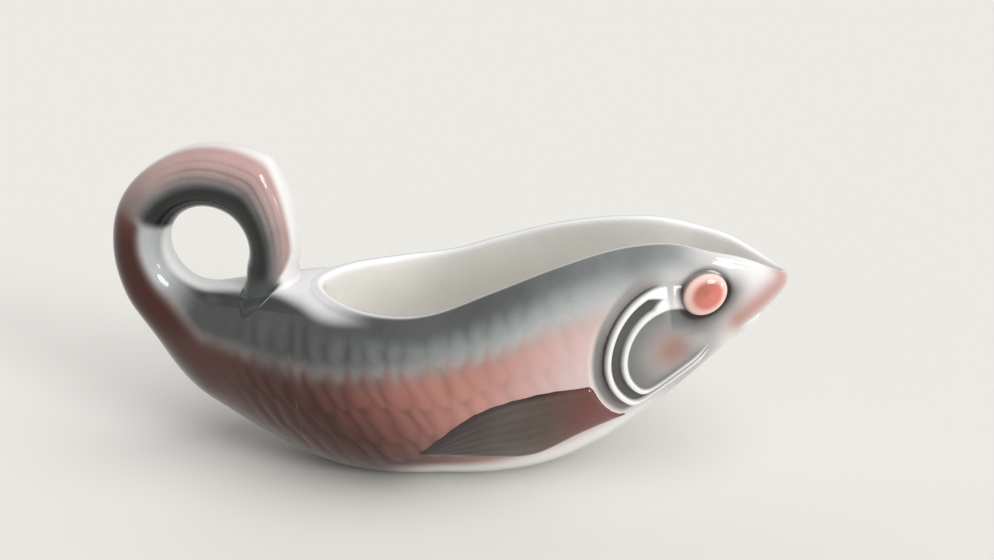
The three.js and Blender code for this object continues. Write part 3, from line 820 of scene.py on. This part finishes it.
@dataclass(frozen=True)
class TailHandle:
    """Curled tail that makes the handle, with its fin and the fin's toes."""

    hole_radius: float = 14.5
    depth: float = 18.78
    half_width: float = 11.0
    turn: float = 338.0
    fin_edge: float = 32.0
    fin_edge_radius: float = 61.0
    fin_edge_rise: float = 3.0
    fin_fullness: float = 2.6
    depths: tuple[float, ...] = (1.47, 1.13, 0.995, 1, 1.03, 1.18, 1.34, 1.585, 1.7, 1.7, 1.7)
    widths: tuple[float, ...] = (1.15, 1.05, 1, 0.97, 0.95, 0.95, 0.97, 1, 1, 1, 1)
    corner: float = 0.6
    border: Curve = Curve((0.335, 0.31, 0.33, 0.4, 0.44, 0.44, 0.45, 0.5, 0.54, 0.58, 0.6))
    dark_from: Span = (0.335, 0.38)
    dark_edge: float = 9.0
    loop_edge: float = 2.2
    bright_from: Span = (0.02, 0.2)
    hem_parts: Span = (0.965, 0.91)
    hem_turn: Span = (0.58, 0.75)
    hem_edge: Span = (-0.025, 0.06)
    hem_from: Span = (0.3, 0.45)
    foot_pale: float = 0.34
    foot_span: Span = (0.79, 0.92)
    shade_end: Span = (0.28, 0.5)
    ray_pitch: float = 0.125
    ray_from: Span = (0.4, 0.56)
    ray_end: Span = (0.72, 0.88)
    ray_depth: float = 0.3
    toe_top: float = 73.5
    toe_drop: float = 10.2
    toe_back: float = -77.0
    toe_back_run: float = 5.6
    toe_front: float = -57.6
    toe_front_run: float = -13.2
    toe_relief: float = 1.2
    toe_rise: float = 78.4
    toe_lean: float = 0.6
    foot_flare: float = 1.2
    flare_height: float = 1.8
    root_sink: float = 5.0
    bury: float = 0.6
    toe_from: float = 0.84
    toe_steps: int = 130
    long_steps: int = 210
    ring_steps: int = 200

    def build(self, material: bpy.types.Material) -> bpy.types.Object:
        """Makes the loop, whose foot spreads into the toes."""
        sheet = Sheet("tail_handle_skin")
        sheet.lay(*self._loop())
        sheet.close()
        return sheet.piece("tail_handle", material)

    def _reach(self, angle: Array, depth: Array) -> Array:
        """Distance from the hole's middle to the outside or to the fin's end edge."""
        loop = self.hole_radius + self.depth * depth
        arc_x, arc_z = self.fin_edge - self.fin_edge_radius, self.fin_edge_rise
        along = arc_x * np.cos(angle) + arc_z * np.sin(angle)
        edge = along + np.sqrt(along**2 - arc_x**2 - arc_z**2 + self.fin_edge_radius**2)
        soft = -self.corner * np.logaddexp(-loop / self.corner, -edge / self.corner)
        return np.where(angle < math.pi * 0.6, soft, loop)

    def _loop(self) -> tuple[Array, Masks]:
        """Points and masks of the loop, rows from the seam round to the fin."""
        root = FORM.station(0.0)
        loop = np.linspace(0, self.toe_from, self.long_steps, endpoint=False)
        share = np.append(loop, np.linspace(self.toe_from, 1, self.toe_steps))[:, None]
        turn = np.linspace(0, 2 * math.pi, self.ring_steps + 1)[None, :]
        depths = Curve((float(root.top - root.bottom) / self.depth, *self.depths)).at(share)
        widths = Curve((float(root.half) / self.half_width, *self.widths)).at(share)
        angle = np.radians(270 - self.turn * share)
        reach = self._reach(angle, depths)
        middle = float((root.top - root.level) / (root.top - root.bottom))
        centre = lerp(self.hole_radius, reach, middle)
        out, side = np.cos(turn), -np.sin(turn)
        outer = lerp(FORM.belly_fullness, self.fin_fullness, share)
        power = 2 / np.where(out > 0, outer, float(root.power))
        extent = np.where(out > 0, reach - centre, centre - self.hole_radius)
        radius = centre + extent * np.sign(out) * np.abs(out) ** power
        part = (radius - self.hole_radius) / (reach - self.hole_radius)
        radius = radius + self.root_sink * smoothstep(0.86, 1.0, share) * (1 - part)
        rays = self._rays(share, part)
        half = self.half_width * widths - self.ray_depth * rays
        y = half * np.sign(side) * np.abs(side) ** power
        x = FORM.seam_x + radius * np.cos(angle)
        z = FORM.head_height * FORM.crown.values[0] + self.hole_radius + radius * np.sin(angle)
        above = np.maximum(z - FORM.roof(x, y), 0.0)
        foot = bell(above, self.flare_height) * smoothstep(0.7, 0.85, share)
        x = np.where(share > 0, x + self.foot_flare * foot * np.maximum(out, 0.0), FORM.seam_x)
        masks = self._paint(share, part, reach - self.hole_radius, rays)
        y, masks = self._spread_toes(share, np.stack([x, y, z]), masks)
        return np.stack([x, y, z], axis=-1), masks

    def _rays(self, share: Array, part: Array) -> Array:
        """Grooves of the tail fin's rays, 0 to 1."""
        wave = 0.5 - 0.5 * np.cos(2 * math.pi * (part - 0.04 * np.sin(6 * share)) / self.ray_pitch)
        ends = smoothstep(*self.ray_from, share) * fade(*self.ray_end, share)
        return wave**3 * ends * bell(part - 0.66, 0.2)

    def _paint(self, share: Array, part: Array, width: Array, rays: Array) -> Masks:
        """Masks of the loop.

        Args:
            share: Place from the seam to the fin.
            part: Place from the finger hole to the outside.
            width: Distance from the finger hole to the outside.
            rays: Grooves of the fin's rays.

        Returns:
            Masks by name.
        """
        border = self.border.at(share)
        # past dark_from the loop's inner grey is painted near black: its grey paint with painted
        # shade under the arch
        dark = smoothstep(*self.dark_from, share)
        soft = lerp(PAINT.border, self.loop_edge, smoothstep(0.0, 0.2, share))
        inner = fade(-soft, lerp(soft, self.dark_edge, dark), (part - border) * width)
        low = (part - border) / (1 - border)
        # lighter inner grey up the stem, where its inner side faces the light: its grey paint with
        # painted light
        bright = smoothstep(*self.bright_from, share) * (1 - dark)
        wall = PAINT.ridge(part * width, np.zeros_like(part))
        start = lerp(*self.hem_parts, smoothstep(*self.hem_turn, share))
        start = start - self.foot_pale * smoothstep(*self.foot_span, share)
        hem = smoothstep(*self.hem_edge, part - start) * smoothstep(*self.hem_from, share)
        # painted shade: as on the hull, the dusky red deepens on the loop's outer side up its stem,
        # away from the light
        shade = PAINT.shade(low) + 0.2 * smoothstep(0.0, 0.15, share)
        shade = np.minimum(shade, 1.0) * fade(*self.shade_end, share) * (1 - inner**3)
        veil = dark * (1 - inner) * (0.16 + 0.16 * rays)
        masks = {
            "grey": inner * lerp(lerp(0.95, 0.72, bright), 1.0, dark) + veil,
            "deep": lerp(lerp(PAINT.rear, 0.08, bright), lerp(0.3, 1.0, inner), dark) + 0.1 * rays,
            "pink": (1 - inner**3) * lerp(1.0, 0.75, dark),
            "dusk": shade + 0.12 * rays + 0.12 * dark * (1 - inner),
            "pale": np.maximum(wall * (1 - dark), 0.9 * hem),
        }
        return {key: mask * np.ones_like(part) for key, mask in masks.items()}

    def _spread_toes(self, share: Array, points: Array, masks: Masks) -> tuple[Array, Masks]:
        """Spreads the fin's foot into a pointed toe on each side of the back.

        Args:
            share: Place from the seam to the fin.
            points: Stack of the loop's x, y and z.
            masks: Paint of the loop.

        Returns:
            New y of the loop, and its masks with the toes' paint.
        """
        x, y, z = points
        fall = np.clip((self.toe_top - z) / self.toe_drop, 0.0, 1.0)
        start = self.toe_back + self.toe_back_run * fall**1.3
        end = self.toe_front + self.toe_front_run * fall**1.2
        across = np.clip(2 * (x - start) / np.maximum(end - start, 0.1) - 1, -1.0, 1.0)
        pillow = (1 - across**2) * (1 - fall**4) * (share > self.toe_from)
        fin = np.abs(y)
        flank = FORM.flank(x, z)
        lean = fin + self.toe_lean * np.maximum(self.toe_rise - z, 0.0) ** 2 / 16.0
        wide = np.maximum(flank + self.toe_relief, lean)
        low = fin + np.maximum(flank - self.bury - fin, 0.0) * smoothstep(0.0, 0.2, pillow)
        spread = lerp(low, np.maximum(wide, low), pillow * smoothstep(1.0, 6.0, fin))
        dark = smoothstep(0.1, 0.5, pillow) * fade(-1.0, 4.5, z - self.toe_top)
        edge = bell(1 - np.abs(across), 0.3) + 0.6 * smoothstep(0.4, 1.0, fall)
        toe = {"grey": 1.0, "deep": 0.82 + 0.18 * np.clip(edge, 0.0, 1.0)}
        paint = {key: lerp(mask, toe.get(key, 0.0), dark) for key, mask in masks.items()}
        return np.sign(y) * spread, paint


@dataclass(frozen=True)
class Eye:
    """Tilted oval boss that sits square to the cheek."""

    side: Side
    bulge: float = 3.2
    flatness: float = 0.6
    ring_steps: int = 96
    radial_steps: int = 28

    def build(self, material: bpy.types.Material) -> bpy.types.Object:
        """Makes the boss's dome and its buried back."""
        name = self.side.name.lower()
        sheet = Sheet(f"{name}_eye_boss")
        for face in (1.0, -1.0):
            sheet.lay(*self._dome(face))
        sheet.close()
        return sheet.piece(f"{name}_eye", material)

    def _dome(self, face: float) -> tuple[Array, Masks]:
        """Points and masks of one half of the boss, rows from its middle outwards."""
        x0, z0 = PAINT.eye
        seat, ahead, above = (
            FORM.skin(np.array(x0 + dx), np.array(z0 + dz), np.array(0.0), self.side)
            for dx, dz in ((0, 0), (1, 0), (0, 1))
        )
        ahead, above = ahead - seat, above - seat
        outward = np.cross(ahead, above) * -self.side.value
        outward = outward / np.linalg.norm(outward)
        tilt = math.radians(PAINT.eye_tilt)
        axis = ahead * math.cos(tilt) + above * math.sin(tilt)
        axis = axis / np.linalg.norm(axis)
        upright = np.cross(outward, axis) * -self.side.value
        turn = np.linspace(0, 2 * math.pi, self.ring_steps + 1)[None, :]
        polar = np.linspace(0, math.pi / 2, self.radial_steps + 1)[:, None]
        radius = np.sin(polar)
        long = PAINT.eye_size[0] * radius * np.cos(turn)
        high = PAINT.eye_size[1] * radius * np.sin(turn)
        lift = face * self.bulge * np.maximum(np.cos(polar), 0.0) ** self.flatness
        lift = lift * np.ones_like(turn)
        points = seat + long[..., None] * axis + high[..., None] * upright
        points = points + lift[..., None] * outward
        rim = smoothstep(0.52, 0.92, radius) * np.ones_like(turn)
        line = smoothstep(0.955, 1.0, radius) * np.ones_like(turn)
        masks = {
            "pink": 1 - 0.78 * rim,
            "dusk": 0.22 * (1 - rim) * bell(turn - 1.9, 1.3),
            "pale": 0.35 * rim * (1 - line),
            "grey": 0.6 * line,
            "deep": 0.7 * line,
        }
        return points, masks


@dataclass(frozen=True)
class GillCover:
    """Cheek plate with two white ridges that join behind the eye."""

    side: Side
    plate: float = 0.8
    ridge: float = 1.0
    trough: float = 0.5
    bury: float = 1.4
    back: float = 0.7
    upper_from: Span = (6.0, 12.0)
    closing: Span = (-3.5, 3.5)
    tapering: Span = (-32.0, 2.0)
    front_bury: float = 0.65
    front_run: float = 13.0
    front_paint: Span = (4.0, 12.0)
    ring_steps: int = 320
    radial_steps: int = 96

    def build(self, material: bpy.types.Material) -> bpy.types.Object:
        """Makes the cover's face and its buried back."""
        name = self.side.name.lower()
        sheet = Sheet(f"{name}_gill_relief")
        x, z, radius = self._places()
        lift, masks = self._press(x, z)
        edge = smoothstep(0.0, 0.03, 1 - radius)
        sheet.lay(FORM.skin(x, z, lerp(-self.bury, lift, edge), self.side), masks)
        under = -self.bury - self.back * np.sqrt(np.maximum(1 - radius, 0.0))
        sheet.lay(FORM.skin(x, z, under, self.side), masks)
        sheet.close()
        return sheet.piece(f"{name}_gill_cover", material)

    def _places(self) -> tuple[Array, Array, Array]:
        """Side-view places of a polar grid that fills the cover, and their radius share."""
        turn = np.linspace(0, 2 * math.pi, self.ring_steps + 1)
        cx, cz = GILL.centre
        near, far = np.zeros_like(turn), np.full_like(turn, 2 * GILL.rim)
        for _ in range(40):
            mid = (near + far) / 2
            x, z = cx + mid * np.cos(turn), cz + mid * np.sin(turn)
            inside = (GILL.level(x, z) < GILL.rim) & (GILL.behind(x, z) > 0)
            near, far = np.where(inside, mid, near), np.where(inside, far, mid)
        radius = np.linspace(0, 1, self.radial_steps + 1)[:, None]
        x, z = cx + radius * near * np.cos(turn), cz + radius * near * np.sin(turn)
        return x, z, radius * np.ones_like(near)

    def _press(self, x: Array, z: Array) -> tuple[Array, Masks]:
        """Relief and masks of the cover's face."""
        level = GILL.level(x, z)
        outer = GILL.radius - GILL.ridge_width / 2
        inner = outer - GILL.pitch
        upper = smoothstep(*self.upper_from, z - GILL.centre[1])
        ahead_of = GILL.groove_end - GILL.swing(x, z)
        closed = upper * smoothstep(*self.closing, ahead_of)
        ridge = np.maximum(self._ridge(level - outer), self._ridge(level - inner))
        between = smoothstep(inner - 0.5, inner + 0.3, level)
        between = between * fade(outer, outer + 1.4, level)
        taper = upper * smoothstep(*self.tapering, ahead_of)
        gap = np.abs(level - (inner + outer) / 2) - lerp(GILL.pitch / 2, -0.8, taper)
        ridge = np.maximum(ridge, between * smoothstep(-0.5, 0.3, gap))
        inside = fade(inner - 1.2, inner + 0.2, level)
        groove = (1 - ridge) * (1 - inside)
        lift = self.plate + self.ridge * ridge - self.trough * groove
        # painted shade on the plate, darkest beside the inner ridge and fading towards the front
        low = bell(level - (inner - 1.5), 6.0) * inside
        spot = bell(np.hypot(x - PAINT.cheek_spot[0], z - PAINT.cheek_spot[1]), PAINT.spot_size)
        masks = {
            "grey": inside * (0.68 + 0.25 * low) * (1 - 0.92 * spot) + groove + 0.3 * closed,
            "deep": 0.62 * groove + 0.22 * low,
            "pink": inside * (0.42 + 0.55 * spot),
            "dusk": 0.6 * groove + inside * (0.34 + 0.16 * low) * (1 - 0.6 * spot),
            "pale": ridge * (1 - 0.5 * closed),
        }
        bare = PAINT.skin(x, z, np.zeros_like(x), np.full_like(x, PLAIN_TONGUE))
        for key in ("grey", "deep", "dusk"):
            masks[key] = np.maximum(masks[key], bare[key] * (1 - ridge))
        inward = GILL.behind(x, z) + 3.0 * closed
        share = smoothstep(*self.front_paint, inward)
        masks = {key: lerp(bare[key], masks[key], share) for key in masks}
        return lerp(-self.front_bury, lift, smoothstep(0.0, self.front_run, inward)), masks

    @staticmethod
    def _ridge(away: Array) -> Array:
        """Rounded ridge about its middle line."""
        return fade(0.35, 0.9, np.abs(away) / (GILL.ridge_width / 2))


@dataclass(frozen=True)
class PectoralFin:
    """Pointed leaf swept back from the gill, which overlaps its root."""

    side: Side
    root: Place = (54.4, 37.49)
    length: float = 65.0
    height: float = 29.0
    relief: float = 1.6
    edge: float = 3.4
    bury: float = 0.5
    root_bury: float = 1.6
    back: float = 0.6
    gill_fade: Span = (26.4, 29.8)
    rays: int = 7
    ray_depth: float = 0.12
    root_thins: Span = (0.72, 0.95)
    top_x: Curve = Curve((-1, -0.71, -0.4, -0.08, 0.12))
    top_z: Curve = Curve((-0.59, 0, 0.23, 0.28, 0.28))
    foot_x: Curve = Curve((-1, -0.63, -0.385, -0.14, 0.12))
    foot_z: Curve = Curve((-0.59, -0.68, -0.72, -0.44, -0.27))
    long_steps: int = 170
    wide_steps: int = 64

    def build(self, material: bpy.types.Material) -> bpy.types.Object:
        """Makes the fin's face and its buried back."""
        name = self.side.name.lower()
        sheet = Sheet(f"{name}_pectoral_relief")
        a = np.linspace(0, 1, self.long_steps + 1)[:, None]
        b = (1 - np.cos(np.linspace(0, math.pi, self.wide_steps + 1)))[None, :] / 2
        span_x = self.length * (self.top_x.at(a) - self.foot_x.at(a))
        span_z = self.height * (self.top_z.at(a) - self.foot_z.at(a))
        x = self.root[0] + self.length * self.foot_x.at(a) + span_x * b
        z = self.root[1] + self.height * self.foot_z.at(a) + span_z * b
        rim = np.minimum(b, 1 - b) * np.hypot(span_x, span_z)
        round_off = np.sqrt(1 - (1 - np.clip(rim / self.edge, 0, 1)) ** 2)
        sunk = smoothstep(*self.gill_fade, GILL.level(x, z)) * fade(0.985, 1.0, a)
        rays = (0.5 + 0.5 * np.cos(2 * math.pi * self.rays * b)) * (1 - a)
        sink = lerp(self.root_bury, self.bury, sunk)
        relief = self.relief * (1 - 0.45 * smoothstep(*self.root_thins, a))
        face = lerp(-sink, relief - self.ray_depth * rays, round_off * sunk)
        masks = self._paint(a, b, rays, rim)
        sheet.lay(FORM.skin(x, z, face, self.side), masks)
        under = -sink - self.back * round_off * fade(0.97, 1.0, a)
        sheet.lay(FORM.skin(x, z, under, self.side), masks)
        sheet.close()
        return sheet.piece(f"{name}_pectoral_fin", material)

    @staticmethod
    def _paint(a: Array, b: Array, rays: Array, rim: Array) -> Masks:
        """Masks of the fin: brown grey, with a dusky pink root."""
        root = smoothstep(0.36, 0.84, a) * smoothstep(-0.5, 0.35, b)
        line = bell(rim, 1.2) * smoothstep(0.3, 0.7, b)
        masks = {
            "grey": 0.95 - 0.85 * smoothstep(0.25, 1.0, root),
            "deep": 1.0 - 0.5 * a - 0.1 * root - 0.25 * (1 - b) * a + 0.1 * rays + 0.3 * line,
            "pink": np.minimum(3.0 * root, 0.97),
            "dusk": 0.4 - 0.1 * root + 0.1 * rays + 0.25 * line,
        }
        return {key: mask * np.ones_like(a * b) for key, mask in masks.items()}


@dataclass(frozen=True)
class GlazeFinish:
    """Sprayed colours under one clear gloss glaze, as sRGB hex."""

    name: str
    white: str = "e9e8e8"
    grey: str = "898f8d"
    deep: str = "1c1f1e"
    pink: str = "b5796c"
    dusk: str = "3c140d"
    cream: str = "e0ddd7"
    bisque: str = "cdb9a2"
    sheen: float = 0.1
    coat: float = 1.0
    coat_roughness: float = 0.04
    coat_ior: float = 1.35
    bump: float = 0.12
    bump_depth: float = 0.6 * MM

    def material(self) -> bpy.types.Material:
        """Builds the material: masks to colour, then one glossy shader."""
        made = bpy.data.materials.new(self.name)
        made.use_nodes = True
        nodes = NodeSketch(made.node_tree)
        nodes.clear()
        spray = nodes.group(spray_group())
        for key in COLOURS:
            spray.inputs[key].default_value = (*srgb(getattr(self, key)), 1.0)
        for key in MASKS:
            mask = nodes.add("ShaderNodeAttribute", attribute_name=key)
            nodes.link(mask, "Fac", spray, f"{key} mask")
        coords = nodes.add("ShaderNodeTexCoord")
        nodes.link(coords, "Object", spray, "place")
        shader = nodes.add("ShaderNodeBsdfPrincipled")
        bump = nodes.add("ShaderNodeBump")
        bump.inputs["Strength"].default_value = self.bump
        bump.inputs["Distance"].default_value = self.bump_depth
        shader.inputs["Specular IOR Level"].default_value = self.sheen
        shader.inputs["Coat Weight"].default_value = self.coat
        shader.inputs["Coat Roughness"].default_value = self.coat_roughness
        shader.inputs["Coat IOR"].default_value = self.coat_ior
        out = nodes.add("ShaderNodeOutputMaterial")
        nodes.link(spray, "colour", shader, "Base Color")
        nodes.link(spray, "roughness", shader, "Roughness")
        nodes.link(spray, "height", bump, "Height")
        nodes.link(bump, "Normal", shader, "Normal")
        nodes.link(shader, "BSDF", out, "Surface")
        return made


def srgb(code: str) -> tuple[float, float, float]:
    """Linear colour of an sRGB hex code."""
    parts = [int(code[i : i + 2], 16) / 255 for i in (0, 2, 4)]
    return tuple(c / 12.92 if c <= 0.04045 else ((c + 0.055) / 1.055) ** 2.4 for c in parts)


class NodeSketch:
    """Short names for building a node tree."""

    def __init__(self, tree: bpy.types.NodeTree) -> None:
        """Holds the tree."""
        self.tree = tree

    def clear(self) -> None:
        """Empties the tree."""
        self.tree.nodes.clear()

    def add(self, kind: str, **settings: object) -> bpy.types.Node:
        """Adds a node and sets its properties."""
        node = self.tree.nodes.new(kind)
        for key, value in settings.items():
            setattr(node, key, value)
        return node

    def group(self, tree: bpy.types.NodeTree) -> bpy.types.Node:
        """Adds a node group."""
        return self.add("ShaderNodeGroup", node_tree=tree)

    def link(self, source: bpy.types.Node, output: str, target: bpy.types.Node, entry: str) -> None:
        """Joins two sockets by name."""
        self.tree.links.new(source.outputs[output], target.inputs[entry])

    def math(self, operation: str, first: object, second: object) -> bpy.types.NodeSocket:
        """Adds a sum; each side is a socket or a number."""
        node = self.add("ShaderNodeMath", operation=operation)
        for entry, value in zip(node.inputs, (first, second)):
            self._feed(entry, value)
        return node.outputs[0]

    def mix(
        self, share: object, first: object, second: object, blend: str = "MIX"
    ) -> bpy.types.NodeSocket:
        """Mixes two colours by a share that is kept between 0 and 1."""
        node = self.add("ShaderNodeMix", data_type="RGBA", blend_type=blend, clamp_factor=True)
        self._feed(node.inputs["Factor"], share)
        self._feed(node.inputs[6], first)
        self._feed(node.inputs[7], second)
        return node.outputs[2]

    def noise(
        self, place: bpy.types.NodeSocket, scale: float, detail: float
    ) -> bpy.types.NodeSocket:
        """Adds a noise at a place and returns its value."""
        node = self.add("ShaderNodeTexNoise")
        node.inputs["Scale"].default_value = scale
        node.inputs["Detail"].default_value = detail
        self.tree.links.new(place, node.inputs["Vector"])
        return node.outputs["Fac"]

    def _feed(self, entry: bpy.types.NodeSocket, value: object) -> None:
        """Joins a socket, or sets a constant."""
        if isinstance(value, bpy.types.NodeSocket):
            self.tree.links.new(value, entry)
        else:
            entry.default_value = value


def spray_group() -> bpy.types.NodeTree:
    """Node group that lays the sprayed colours over white slip.

    Returns:
        The group; it is made once and shared by every finish.
    """
    name = "sprayed_colour"
    if name in bpy.data.node_groups:
        return bpy.data.node_groups[name]
    tree = bpy.data.node_groups.new(name, "ShaderNodeTree")
    face = tree.interface
    for key in COLOURS:
        face.new_socket(key, in_out="INPUT", socket_type="NodeSocketColor")
    for key in MASKS:
        face.new_socket(f"{key} mask", in_out="INPUT", socket_type="NodeSocketFloat")
    face.new_socket("place", in_out="INPUT", socket_type="NodeSocketVector")
    face.new_socket("colour", in_out="OUTPUT", socket_type="NodeSocketColor")
    face.new_socket("roughness", in_out="OUTPUT", socket_type="NodeSocketFloat")
    face.new_socket("height", in_out="OUTPUT", socket_type="NodeSocketFloat")
    nodes = NodeSketch(tree)
    given = nodes.add("NodeGroupInput").outputs
    result = nodes.add("NodeGroupOutput").inputs
    cloud = nodes.noise(given["place"], CLOUD_SCALE, 3.0)
    grain = nodes.noise(given["place"], GRAIN_SCALE, 2.0)
    clouds = nodes.math("MULTIPLY", nodes.math("SUBTRACT", cloud, 0.5), 0.5)
    grains = nodes.math("MULTIPLY", nodes.math("SUBTRACT", grain, 0.5), 0.12)
    drift = nodes.math("ADD", clouds, grains)

    def sprayed(key: str, spread: float) -> bpy.types.NodeSocket:
        """Mask with a soft, speckled edge; bare and full places stay as they are."""
        mask = given[f"{key} mask"]
        open_part = nodes.math("MULTIPLY", mask, nodes.math("SUBTRACT", 1.0, mask))
        shake = nodes.math("MULTIPLY", nodes.math("MULTIPLY", drift, open_part), spread)
        return nodes.math("ADD", mask, shake)

    greys = nodes.mix(sprayed("deep", 2.6), given["grey"], given["deep"])
    reds = nodes.mix(sprayed("dusk", 1.6), given["pink"], given["dusk"])
    colour = nodes.mix(sprayed("pink", 2.0), given["white"], reds)
    colour = nodes.mix(sprayed("grey", 2.0), colour, greys)
    # the dusk mask also holds painted shade, which darkens every colour once more here
    colour = nodes.mix(nodes.math("MULTIPLY", given["dusk mask"], 0.45), colour, given["dusk"])
    colour = nodes.mix(given["pale mask"], colour, given["white"])
    colour = nodes.mix(given["cream mask"], colour, given["cream"])
    tone = nodes.math("ADD", 0.93, nodes.math("MULTIPLY", cloud, 0.14))
    colour = nodes.mix(1.0, colour, tone, "MULTIPLY")
    colour = nodes.mix(given["foot mask"], colour, given["bisque"])
    rough = nodes.math("ADD", 0.24, nodes.math("MULTIPLY", cloud, 0.12))
    rough = nodes.math("ADD", rough, nodes.math("MULTIPLY", given["foot mask"], 0.4))
    height = nodes.math("ADD", cloud, nodes.math("MULTIPLY", grain, 0.08))
    tree.links.new(colour, result["colour"])
    tree.links.new(rough, result["roughness"])
    tree.links.new(height, result["height"])
    return tree


@dataclass(frozen=True)
class SkyLight:
    """Even light from one direction; the glaze mirrors it if it is a window."""

    name: str
    toward: tuple[float, float, float]
    spread: float
    strength: float
    window: bool = False

    def build(self) -> None:
        """Hangs the light."""
        data = bpy.data.lights.new(self.name, "SUN")
        data.angle = math.radians(self.spread)
        data.energy = self.strength
        lamp = bpy.data.objects.new(self.name, data)
        lamp.visible_glossy = self.window
        lamp.rotation_euler = Vector(self.toward).to_track_quat("Z", "Y").to_euler()
        bpy.context.scene.collection.objects.link(lamp)


@dataclass(frozen=True)
class Studio:
    """Pale floor, soft lamps and the camera at the photograph's angle."""

    floor_size: float = 12.0
    camera_place: tuple[float, float, float] = (0.02113, -0.28253, 0.18016)
    camera_turn: tuple[float, float, float] = (69.0, 0.0, 1.0)
    lens: float = 30.42
    ambient: float = 0.5
    ambient_colour: str = "e6e9ea"
    backdrop: float = 0.8
    backdrop_colour: str = "f4f2ee"
    floor_colour: str = "dedbd6"
    lights: tuple[SkyLight, ...] = (
        SkyLight("sky", (0.35, -0.3, 0.9), 60.0, 1.85),
        SkyLight("fill", (-0.55, 0.75, 0.4), 70.0, 0.5),
        SkyLight("window", (0.72, -0.58, 0.37), 17.0, 1.3, window=True),
        SkyLight("low_window", (0.95, -0.28, 0.13), 9.0, 0.2, window=True),
    )

    def build(self) -> None:
        """Sets the floor, the lamps, the ambient light and the camera."""
        self._floor()
        for light in self.lights:
            light.build()
        self._world()
        bpy.context.scene.view_settings.view_transform = "Standard"
        self._camera()

    def _world(self) -> None:
        """Sets the ambient light, and a pale backdrop for the camera."""
        world = bpy.data.worlds.new("studio")
        world.use_nodes = True
        nodes = NodeSketch(world.node_tree)
        nodes.clear()
        path = nodes.add("ShaderNodeLightPath")
        sky = nodes.add("ShaderNodeBackground")
        sky.inputs["Color"].default_value = (*srgb(self.ambient_colour), 1.0)
        sky.inputs["Strength"].default_value = self.ambient
        seen = nodes.add("ShaderNodeBackground")
        seen.inputs["Color"].default_value = (*srgb(self.backdrop_colour), 1.0)
        seen.inputs["Strength"].default_value = self.backdrop
        blend = nodes.add("ShaderNodeMixShader")
        out = nodes.add("ShaderNodeOutputWorld")
        mirrored = nodes.math(
            "MAXIMUM", path.outputs["Is Glossy Ray"], path.outputs["Is Transmission Ray"]
        )
        shown = nodes.math("MAXIMUM", path.outputs["Is Camera Ray"], mirrored)
        world.node_tree.links.new(shown, blend.inputs["Fac"])
        world.node_tree.links.new(sky.outputs[0], blend.inputs[1])
        world.node_tree.links.new(seen.outputs[0], blend.inputs[2])
        nodes.link(blend, "Shader", out, "Surface")
        bpy.context.scene.world = world

    def _floor(self) -> None:
        """Lays a plain pale floor."""
        bm = bmesh.new()
        bmesh.ops.create_grid(bm, x_segments=1, y_segments=1, size=self.floor_size / 2)
        mesh = bpy.data.meshes.new("floor")
        bm.to_mesh(mesh)
        bm.free()
        material = bpy.data.materials.new("floor")
        material.use_nodes = True
        shader = material.node_tree.nodes["Principled BSDF"]
        shader.inputs["Base Color"].default_value = (*srgb(self.floor_colour), 1.0)
        shader.inputs["Roughness"].default_value = 1.0
        shader.inputs["Specular IOR Level"].default_value = 0.0
        mesh.materials.append(material)
        floor = bpy.data.objects.new("floor", mesh)
        bpy.context.scene.collection.objects.link(floor)

    def _camera(self) -> None:
        """Places the camera."""
        data = bpy.data.cameras.new("camera")
        data.lens = self.lens
        camera = bpy.data.objects.new("camera", data)
        camera.location = self.camera_place
        camera.rotation_euler = tuple(math.radians(angle) for angle in self.camera_turn)
        bpy.context.scene.collection.objects.link(camera)
        bpy.context.scene.camera = camera


def main() -> None:
    """Builds every piece and the studio; each piece logs its face count."""
    BoatBody().build(GlazeFinish("body_glaze").material())
    TailHandle().build(GlazeFinish("tail_glaze").material())
    eye = GlazeFinish("eye_glaze", pink="c9776a", white="efd3c9").material()
    gill = GlazeFinish("gill_glaze").material()
    fin = GlazeFinish("fin_glaze", grey="85796f", deep="211914", pink="7c352d").material()
    for side in Side:
        Eye(side).build(eye)
        GillCover(side).build(gill)
        PectoralFin(side).build(fin)
    Studio().build()


if __name__ == "__main__":
    main()
